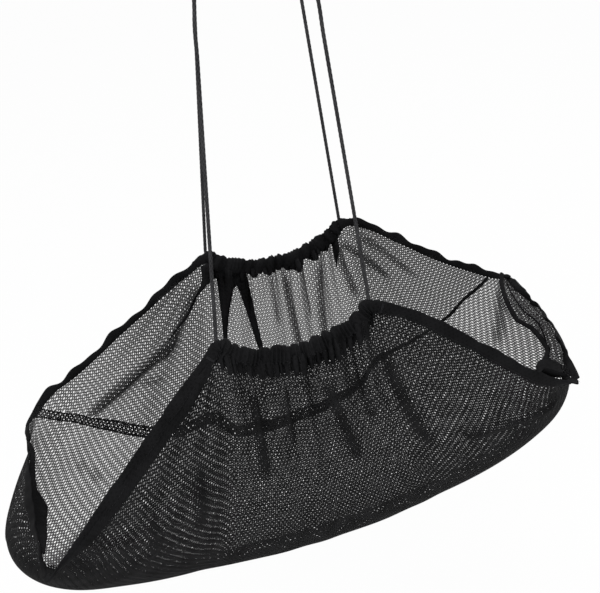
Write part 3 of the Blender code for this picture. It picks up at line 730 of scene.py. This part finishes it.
def stitches(name, starts, ends, lift, radius, *nodes):
    """Short stitches, each a half sine wave from a start to an end, tapered at both ends."""
    share = np.linspace(0, 1, 7)[:, None]
    path = starts[:, None] + (ends - starts)[:, None] * share + lift[:, None] * np.sin(np.pi * share)
    outer = unit(lift)[:, None, None]
    aside = np.cross(unit(ends - starts)[:, None, None], outer)
    turn = (TURN * np.arange(6) / 6)[:, None]
    thick = radius * np.clip(np.sin(np.pi * (0.08 + 0.84 * share)) * 1.6, 0, 1)[..., None]
    rings = path[:, :, None] + (outer * np.cos(turn) + aside * np.sin(turn)) * thick
    index = np.arange(42).reshape(7, 6)
    ends_closed = [(0, k, k + 1) for k in range(1, 5)] + [(36, 37 + k, 36 + k) for k in range(1, 5)]
    one = np.concatenate((cells(np.concatenate((index, index[:, :1]), 1)), ends_closed))
    triangles = (np.arange(len(starts))[:, None, None] * 42 + one).reshape(-1, 3)
    length = np.linalg.norm(ends - starts, axis=1)[:, None, None] * share
    uv = np.stack(np.broadcast_arrays(length, np.arange(6) / 6), -1).reshape(-1, 2)[triangles.ravel()]
    dress(mesh_object(name, rings.reshape(-1, 3), triangles, THREAD, uv), "stitching", *nodes)


# Two rows of stitches, which show on the inside of the wall
for name, edge in (("seam_upper_stitches", -0.4), ("seam_lower_stitches", 0.4)):
    stations = np.linspace(-0.945, 0.885, 250)
    below = np.maximum(seam_below(stations) + edge * SEAM_ROWS * seam_height(stations), 0.005)
    after = stations + 0.0028 / CLOTH_SPAN
    start, normal = WALLS[1].at(stations, below, -0.0022)
    end, _ = WALLS[1].at(after, np.interp(after, stations, below), -0.0022)
    stitches(name, start, end, normal * -0.0004, 0.0003)

# Casings: the cloth's edge is folded over along each rim into a sleeve round the cord. Its
# middle is drawn together into deep ruffles, and towards the corners it is pressed flat.
RUFFLES = 12
SLEEVE_END = 0.989
TIP_START = 0.972            # where a sleeve starts to narrow


def smoothed(values, count):
    """Running average of each column over a count of values, weighted towards its middle."""
    kernel = np.hanning(count) / np.hanning(count).sum()
    padded = np.pad(values, ((count // 2, count // 2), (0, 0)), "edge")
    return np.stack([np.convolve(column, kernel, "valid") for column in padded.T], -1)


def casing_frame(side, stations):
    """Rim points of a casing, and their directions along, down the cloth and outwards."""
    wall = WALLS[side]
    step = 0.006
    along = unit(through(RIMS[side], np.minimum(stations + step, 1))
                 - through(RIMS[side], np.maximum(stations - step, -1)))
    place = through(RIMS[side], stations)
    edge_stations = np.linspace(-1, 1, 401)
    edge = wall.at(edge_stations, wall.reach_at(edge_stations), plain=True)[0]
    gap = edge - place[:, None]
    foot = np.abs((gap * along[:, None]).sum(2)) + 0.2 * np.linalg.norm(gap, axis=2)
    down = smoothed(edge[np.argmin(foot, axis=1)] - place, 9)
    down = unit(down - along * (down * along).sum(1)[:, None])
    return place, along, down, np.cross(down, along) * -side


def sleeve_shape(side, stations):
    """Middle line, half height, half depth and frame of a sleeve. Ruffles are a rectified sine
    of uneven phase and size, and a hem has only slow waves."""
    place, along, down, outward = casing_frame(side, stations)
    gathered = 1 - ease(np.abs(stations), 0.315, 0.385)
    across = TURN * stations / (2 * SLIT_STATION)
    phase = 0.5 * RUFFLES * across + 0.8 * np.sin(2 * across + side) + 0.5 * np.sin(5 * across)
    size = 0.74 + 0.26 * np.sin(3.3 * across + 2 * side)
    scallop = np.abs(np.sin(phase)) ** 0.55
    crimp = np.cos(34 * across + 2.1 * np.sin(7 * across + side))
    waves = np.sin(38 * stations + 1.5 * np.sin(9 * stations + side)) + 0.6 * np.sin(83 * stations)
    wavy = waves * (1.3 + 0.4 * side)
    hem = 1 - gathered
    width = CASING_WIDTH - (0.0025 + 0.0025 * side) * hem
    tip = np.clip((np.abs(stations) - TIP_START) / (SLEEVE_END - TIP_START), 0, 1)
    rounding = np.sqrt(1 - 0.96 * tip ** 2)
    top = (0.0046 * scallop * size - 0.0008) * gathered + 0.0009 * wavy * hem
    bottom = (0.0035 + 0.0012 * crimp) * gathered + 0.0004 * wavy * hem
    height = (width + top + bottom) / 2 * rounding
    depth = (0.0019 + (0.001 + 0.0036 * scallop * size + 0.0005 * crimp) * gathered) * rounding
    middle = place + down * (width / 2 + (bottom - top) / 2)[:, None]
    sway = (0.0013 * np.cos(phase * 2 + 1) + 0.0008 * crimp) * gathered + 0.001 * wavy * hem
    return middle + outward * sway[:, None], height, depth, down, outward, along


for name, side, node in (("front_sleeve", -1, "front_casing"), ("back_sleeve", 1, "back_casing")):
    stations = np.concatenate((np.linspace(-SLEEVE_END, -0.4, 300)[:-1], np.linspace(-0.4, 0.4, 760),
                               np.linspace(0.4, SLEEVE_END, 300)[1:]))
    middle, height, depth, down, outward, _ = sleeve_shape(side, stations)
    turn = TURN * (np.arange(28)[:, None] + 0.5) / 28
    rise = np.cos(turn) * height[:, None, None]
    out = np.sign(np.sin(turn)) * np.abs(np.sin(turn)) ** 0.8 * depth[:, None, None]
    rings = middle[:, None] - down[:, None] * rise + outward[:, None] * out
    dress(ringed_object(name, rings, FOLDED, flip=side > 0), "hem_tape", node)
    places = np.linspace(-0.955, 0.955, 231)
    middle, height, depth, down, outward, along = sleeve_shape(side, places)
    seat = middle + down * (height * 0.66)[:, None] + outward * (depth * 0.8)[:, None]
    stitches(name + "_stitches", seat - along * 0.0014, seat + along * 0.0014, outward * 0.0004, 0.00028)

# Bunched cloth under the gathers, and the folded allowance along the front hem: layers of
# the same mesh that lie too close together to see through. The allowance reaches down over
# the shadow under the hem too, so its lower part is a dark sheet of painted shadow.
LAYER_START = 0.011          # below the rim, under the casing
FRONT_BUNCH = ((-0.36, 0.028), (-0.3, 0.036), (-0.15, 0.034), (0.1, 0.034), (0.3, 0.038), (0.36, 0.03))
BACK_BUNCH = ((-0.34, 0.04), (-0.2, 0.041), (-0.16, 0.026), (-0.09, 0.018), (0.06, 0.024), (0.1, 0.029),
              (0.21, 0.02), (0.26, 0.03), (0.34, 0.034))
# Reach of the front hem's allowance below the rim: the folded layers, with painted shadow under the hem below
# them.
HEM_ALLOWANCE_AND_SHADOW = ((-0.97, 0.022), (-0.9, 0.027), (-0.8, 0.031), (-0.7, 0.034), (-0.56, 0.035),
                 (-0.46, 0.033), (-0.38, 0.028), (-0.34, 0.02))

# Each layer reaches down from below the casing, with pleats across it
for name, side, reaches, count, wave_height, outside in (
        ("front_bunched_cloth", -1, FRONT_BUNCH, 620, 0.003, 0.0),
        ("back_bunched_cloth", 1, BACK_BUNCH, 560, 0.0026, 0.0),
        ("front_hem_allowance_and_shadow", -1, HEM_ALLOWANCE_AND_SHADOW, 300, 0.0003, 0.0009)):
    stations = np.linspace(reaches[0][0], reaches[-1][0], count)
    across = TURN * stations / (2 * SLIT_STATION)
    phase = PLEATS * across + 1.5 * np.sin(6 * across + side)
    ends = ease(np.minimum(stations - stations[0], stations[-1] - stations), 0.0, 0.03)
    ragged = 0.0022 * np.cos(phase) + 0.0012 * np.cos(11 * across)
    reach = profile(reaches, stations) + ragged * min(wave_height / 0.0026, 1)
    depth = 0.002 + (reach - LAYER_START - 0.002) * ends
    steps = np.linspace(0, 1, 9)
    share = np.concatenate((steps, steps[::-1]))
    thick = 0.0009 * np.sqrt(np.clip(1 - share ** 6, 0.02, 1)) * np.repeat((1, -1), 9)
    below = LAYER_START + depth[:, None] * share
    wave = wave_height * (np.cos(phase) + 0.35 * np.cos(2.3 * phase + 1))[:, None]
    raised = outside + wave * (1 - 0.35 * share) + thick
    rings, _ = WALLS[side].at(stations[:, None] + 0 * below, below, raised)
    dress(ringed_object(name, rings, FOLDED, flip=side < 0), "knitted_mesh")

# Cord inside each casing: it shows only at the slits, where the handle leaves the casing.
for side, node in ((-1, "front_casing_cord"), (1, "back_casing_cord")):
    place, _, down, _ = casing_frame(side, np.linspace(-0.255, 0.255, 15))
    bend = np.array(((0.0, 0.0, -0.0004), (0.0, 0.0, -0.0058), (0.003, 0.0, -0.012)))
    route = [*(slit_exit(side, "left") + bend), *(place + down * 0.0048),
             *(slit_exit(side, "right") + bend * (-1, 1, 1))[::-1]]
    rings = braided(smooth_path(route, 0.001), 0.0019)
    dress(ringed_object(node + "_braid", rings, CORD, turns=True), "braided_cord", node)

# Pleats: under the gather of the back wall four folds stand inwards and run down the wall,
# thick at the top and narrow at the end.
for name, path, height in (
        ("left_slanting_pleat", ((-0.322, 0.014, 0.03), (-0.338, 0.036, 0.02), (-0.382, 0.051, 0.01),
                                 (-0.43, 0.063, 0.005), (-0.48, 0.079, 0.002)), 0.003),
        ("left_upright_pleat", ((-0.262, 0.014, 0.044), (-0.264, 0.044, 0.034), (-0.274, 0.085, 0.02),
                                (-0.28, 0.125, 0.01), (-0.283, 0.16, 0.003)), 0.0032),
        ("middle_upright_pleat", ((-0.19, 0.014, 0.042), (-0.174, 0.04, 0.032), (-0.15, 0.087, 0.019),
                                  (-0.122, 0.138, 0.01), (-0.108, 0.172, 0.003)), 0.0032),
        ("right_small_pleat", ((0.3, 0.014, 0.02), (0.306, 0.036, 0.012), (0.305, 0.052, 0.006),
                               (0.302, 0.07, 0.002)), 0.0026)):
    line = through(np.column_stack((np.arange(len(path)), path)), np.linspace(0, len(path) - 1, 60))
    across = np.linspace(-1, 1, 9)
    crown = np.concatenate((across, across[::-1][1:-1]))
    raised = np.concatenate((-0.0004 - height * (1 - np.abs(across) ** 2.6), np.full(7, -0.0002)))
    station = line[:, 0, None] + line[:, 2, None] * crown
    fade = ease(np.linspace(1, 0, 60), 0.0, 0.5)[:, None]
    rings, _ = WALLS[1].at(station, line[:, 1, None] + 0 * station, raised * (0.35 + 0.65 * fade))
    dress(ringed_object(name, rings, FOLDED), "knitted_mesh")

# Hems along the short ends: ribbed tape folded over the cloth's edge and sewn on.
END_HEM = 0.011 / 0.46       # width, in units of station
INNER = 1 - END_HEM
BAND_START = -0.018          # shares of the girth, a little past both casings
BAND_END = 1.06
BAND_TAPER = 0.018


def ribs(u, v):
    """Fine slanting ribs of the hem tape."""
    return ((u + v * 0.8) * (TURN / 0.0019)).cosine() * 0.5 + 0.5


# The darker colour holds the painted shade between the ribs, the lighter one the painted light on them.
RIBBED = cloth("ribbed_hem", (0.0024, 0.0024, 0.0026), (0.016, 0.016, 0.017), 0.8, ribs, 0.0002)


def whole(stations, shares, raised=0.0):
    """Point and outward normal on a cross-section, from the front casing to the back one."""
    front = WALLS[-1]
    back = WALLS[1]
    stations = stations + 0 * shares
    low = front.reach_at(stations)
    girth = front.half_at(stations) + back.half_at(stations)
    distance = low + (girth - back.reach_at(stations) - low) * shares
    on_front = distance < front.half_at(stations)
    near = front.at(stations, np.where(on_front, distance, 0.0), raised, plain=True)
    far = back.at(stations, np.where(on_front, 0.0, girth - distance), raised, plain=True)
    return [np.where(on_front[..., None], *pair) for pair in zip(near, far)]


for name, sign, wave, node in (("left_end_band", -1, 0.0007, "left_end_hem"),
                               ("right_end_band", 1, 0.0013, "right_end_hem")):
    shares = np.linspace(BAND_START, BAND_END, 287)
    turn = TURN * (np.arange(20) + 0.5) / 20
    wavy = wave * (np.sin(31 * shares + sign) + 0.6 * np.sin(67 * shares + 1))
    inwards = np.clip(np.minimum(shares - BAND_START, BAND_END - shares) / BAND_TAPER, 0.02, 1)
    taper = np.sqrt(1 - (1 - inwards) ** 2)[:, None]
    station = sign * ((1 + INNER) / 2 - (1 - INNER) / 2 * 1.05 * taper * np.cos(turn))
    raised = wavy[:, None] + 0.0014 * np.sin(turn) * taper
    rings, _ = whole(np.clip(station, -1, 1), shares[:, None] + 0 * station, raised)
    dress(ringed_object(name, rings, RIBBED, flip=sign > 0), "hem_tape", node)

# Tucks: inside both ends a flap of cloth is folded in beside the end hem. The left one is a
# solid fold, and the right one is wider, with mesh between its rolled edge and the hem.
LEFT_TUCK = ((0.13, 0.003), (0.2, 0.008), (0.28, 0.014), (0.36, 0.02), (0.44, 0.026), (0.5, 0.03),
             (0.545, 0.029), (0.58, 0.018), (0.63, 0.013), (0.7, 0.01), (0.78, 0.007), (0.92, 0.004))
RIGHT_TUCK = ((-0.03, 0.052), (0.03, 0.047), (0.1, 0.043), (0.15, 0.042), (0.19, 0.038), (0.215, 0.032),
              (0.245, 0.023), (0.32, 0.021), (0.4, 0.024), (0.5, 0.027), (0.6, 0.028), (0.66, 0.031),
              (0.71, 0.034), (0.76, 0.031), (0.86, 0.028), (0.98, 0.026))
TUCK_LEAN = {-1: math.radians(95), 1: math.radians(70)}
TUCK_LAID = {-1: 0.0, 1: math.radians(40)}   # nearer to the cloth at the front
RIGHT_HEM_LENGTH = 0.26


def tuck_frame(sign, shares):
    """Roots of a tuck along its hem, the way it stands and the way along."""
    station = sign * (INNER + 0.3 * END_HEM)
    root, normal = whole(station, shares, -0.002)
    onward = unit(whole(station - sign * END_HEM, shares, -0.002)[0] - root)
    lean = TUCK_LEAN[sign] - TUCK_LAID[sign] * ease(-shares, -0.26, 0.0)[:, None]
    return root, onward * np.cos(lean) - normal * np.sin(lean), unit(np.gradient(root, axis=0))


def tuck_reach(points, shares):
    """Depth of a tuck along its hem, smooth through its points."""
    fine = np.linspace(points[0][0], points[-1][0], 300)
    return np.interp(shares, fine, smoothed(profile(points, fine)[:, None], 21)[:, 0])


def flap(name, sign, shares, reach, thick, *nodes, start=0.0):
    """Folded flap beside an end hem, from start to reach along its way, rounded at its edge."""
    root, way, along = tuck_frame(sign, shares)
    across = np.cross(way, along)
    steps = np.concatenate((np.linspace(0, 1, 12), np.linspace(1, 0, 12)[1:-1]))
    curve = np.repeat((1, -1), (12, 10)) * np.sqrt(np.clip(1 - steps ** 4, 0, 1))
    begin = start + 0 * shares
    distance = begin[:, None] + (reach - begin)[:, None] * steps
    crimp = 0.0005 * np.sin(90 * shares)[:, None] * steps
    offset = curve * (thick + 0 * shares)[:, None] / 2 + crimp
    rings = root[:, None] + way[:, None] * distance[..., None] + across[:, None] * offset[..., None]
    dress(ringed_object(name, rings, FOLDED, flip=sign > 0), "knitted_mesh", *nodes)


shares = np.linspace(0.13, 0.92, 130)
depth = tuck_reach(LEFT_TUCK, shares)
flap("left_tuck_fold", -1, shares, depth, 0.0016 + 0.1 * depth, "left_end_tuck")

shares = np.linspace(-0.03, 0.98, 160)
depth = tuck_reach(RIGHT_TUCK, shares)
rolled = 0.0066 + 0.03 * ease(-shares, -0.26, -0.12)
flap("right_tuck_edge", 1, shares, depth, 0.0044, "right_end_tuck", start=depth - rolled)
shares = np.linspace(0.3, 0.93, 90)
middle_line = tuck_reach(RIGHT_TUCK, shares) * (0.42 + 0.3 * ease(-shares, -0.6, -0.32))
flap("right_tuck_inner_fold", 1, shares, middle_line + 0.0022, 0.0018, start=middle_line)


def on_right_tuck(flat):
    """Lattice points on the right tuck: rows run along the hem, the last under the rolled edge."""
    shares = np.clip(flat[..., 0] * HOLE_PITCH / RIGHT_HEM_LENGTH, 0.03, 0.98)
    fine = np.linspace(0.0, 1.0, 400)
    root, way, along = (each(shares, fine, field) for field in tuck_frame(1, fine))
    reach = tuck_reach(RIGHT_TUCK, shares)
    distance = np.minimum(flat[..., 1] * ROW_PITCH, reach - 0.002)
    across = unit(np.cross(way, along))
    wave = 0.0012 * np.sin(60 * shares) * np.sin(np.pi * np.clip(distance / reach, 0, 1))
    return root + way * distance[..., None] + across * wave[..., None], across


corners = knit_lattice(1, 37, 10)
edge = tuck_reach(RIGHT_TUCK, corners[..., 0] * HOLE_PITCH / RIGHT_HEM_LENGTH)
corners = corners[(corners[..., 1] * ROW_PITCH < edge).any(1)]
dress(knit_piece("right_tuck_knit", corners, on_right_tuck, KNIT, 1.05, 0.45), "knitted_mesh")

# Bars of close stitches, which keep the slits and the ends of the casings from tearing.
for rim, side in (("front", -1), ("back", 1)):
    for name, station in (("left_slit", -0.374), ("right_slit", 0.374),
                          ("left_corner", -0.958), ("right_corner", 0.958)):
        near = np.array([station - 0.002, station, station + 0.002])
        middle, height, depth, down, outward, along = sleeve_shape(side, near)
        steps = np.linspace(-0.0052, 0.0052, 15)
        bulge = depth[1] * np.sqrt(np.clip(1 - (steps / height[1]) ** 2, 0, 1))
        seat = middle[1] + down[1] * steps[:, None] + outward[1] * (bulge + 0.0001)[:, None]
        ways = np.repeat(along[1:2], 15, 0) * 0.0017
        lifts = np.repeat(outward[1:2], 15, 0) * 0.0007
        stitches(f"{rim}_{name}_bar", seat - ways, seat + ways, lifts, 0.00042, f"{rim}_{name}_tack")

# Light, floor and background: a pale floor well below the sling, white where the camera
# sees it, and two soft lamps above.
FLOOR_Z = -0.95
FLOOR_REACH = 9
POUCH_MIDDLE = Vector((0, 0, -0.55))


def seen_or_lit(tree, seen, lit):
    """Strength that the camera sees directly or in a gloss, and the strength that lights."""
    ray = Value(tree)
    seen_ray = ray.node("ShaderNodeLightPath", output="Is Camera Ray")
    for kind in ("Is Glossy Ray", "Is Transmission Ray"):
        seen_ray = seen_ray.most(ray.node("ShaderNodeLightPath", output=kind))
    return seen_ray * (seen - lit) + lit


world = bpy.data.worlds.new("white_studio")
bpy.context.scene.world = world
world.use_nodes = True
background = world.node_tree.nodes["Background"]
background.inputs["Color"].default_value = (1, 1, 1, 1)
world.node_tree.links.new(seen_or_lit(world.node_tree, 1.0, 0.62).socket, background.inputs["Strength"])

pale = bpy.data.materials.new("pale_floor")
pale.use_nodes = True
pale.node_tree.nodes.remove(pale.node_tree.nodes["Principled BSDF"])
start = Value(pale.node_tree)
diffuse = start.node("ShaderNodeBsdfDiffuse", {"Color": (0.9, 0.9, 0.9, 1)})
glow = start.node("ShaderNodeEmission", {"Color": (1, 1, 1, 1)})
mixed = start.node("ShaderNodeMixShader", {0: seen_or_lit(pale.node_tree, 0.95, 0.0), 1: diffuse, 2: glow})
pale.node_tree.links.new(mixed.socket, pale.node_tree.nodes["Material Output"].inputs["Surface"])
floor_corners = [(x * FLOOR_REACH, y * FLOOR_REACH, FLOOR_Z) for x, y in ((-1, -1), (1, -1), (1, 1), (-1, 1))]
mesh_object("floor", floor_corners, [(0, 1, 2), (0, 2, 3)], pale, np.zeros((6, 2)))

for name, place, size, power in (("key", (-1.2, -1.8, 1.2), 1.6, 30), ("top", (0.6, 0.3, 1.6), 1.8, 22)):
    lamp = bpy.data.lights.new(name, "AREA")
    lamp.size = size
    lamp.energy = power
    towards = (POUCH_MIDDLE - Vector(place)).to_track_quat("-Z", "Y")
    added(name, lamp).matrix_world = Matrix.Translation(place) @ towards.to_matrix().to_4x4()
bpy.context.scene.view_settings.view_transform = "Standard"
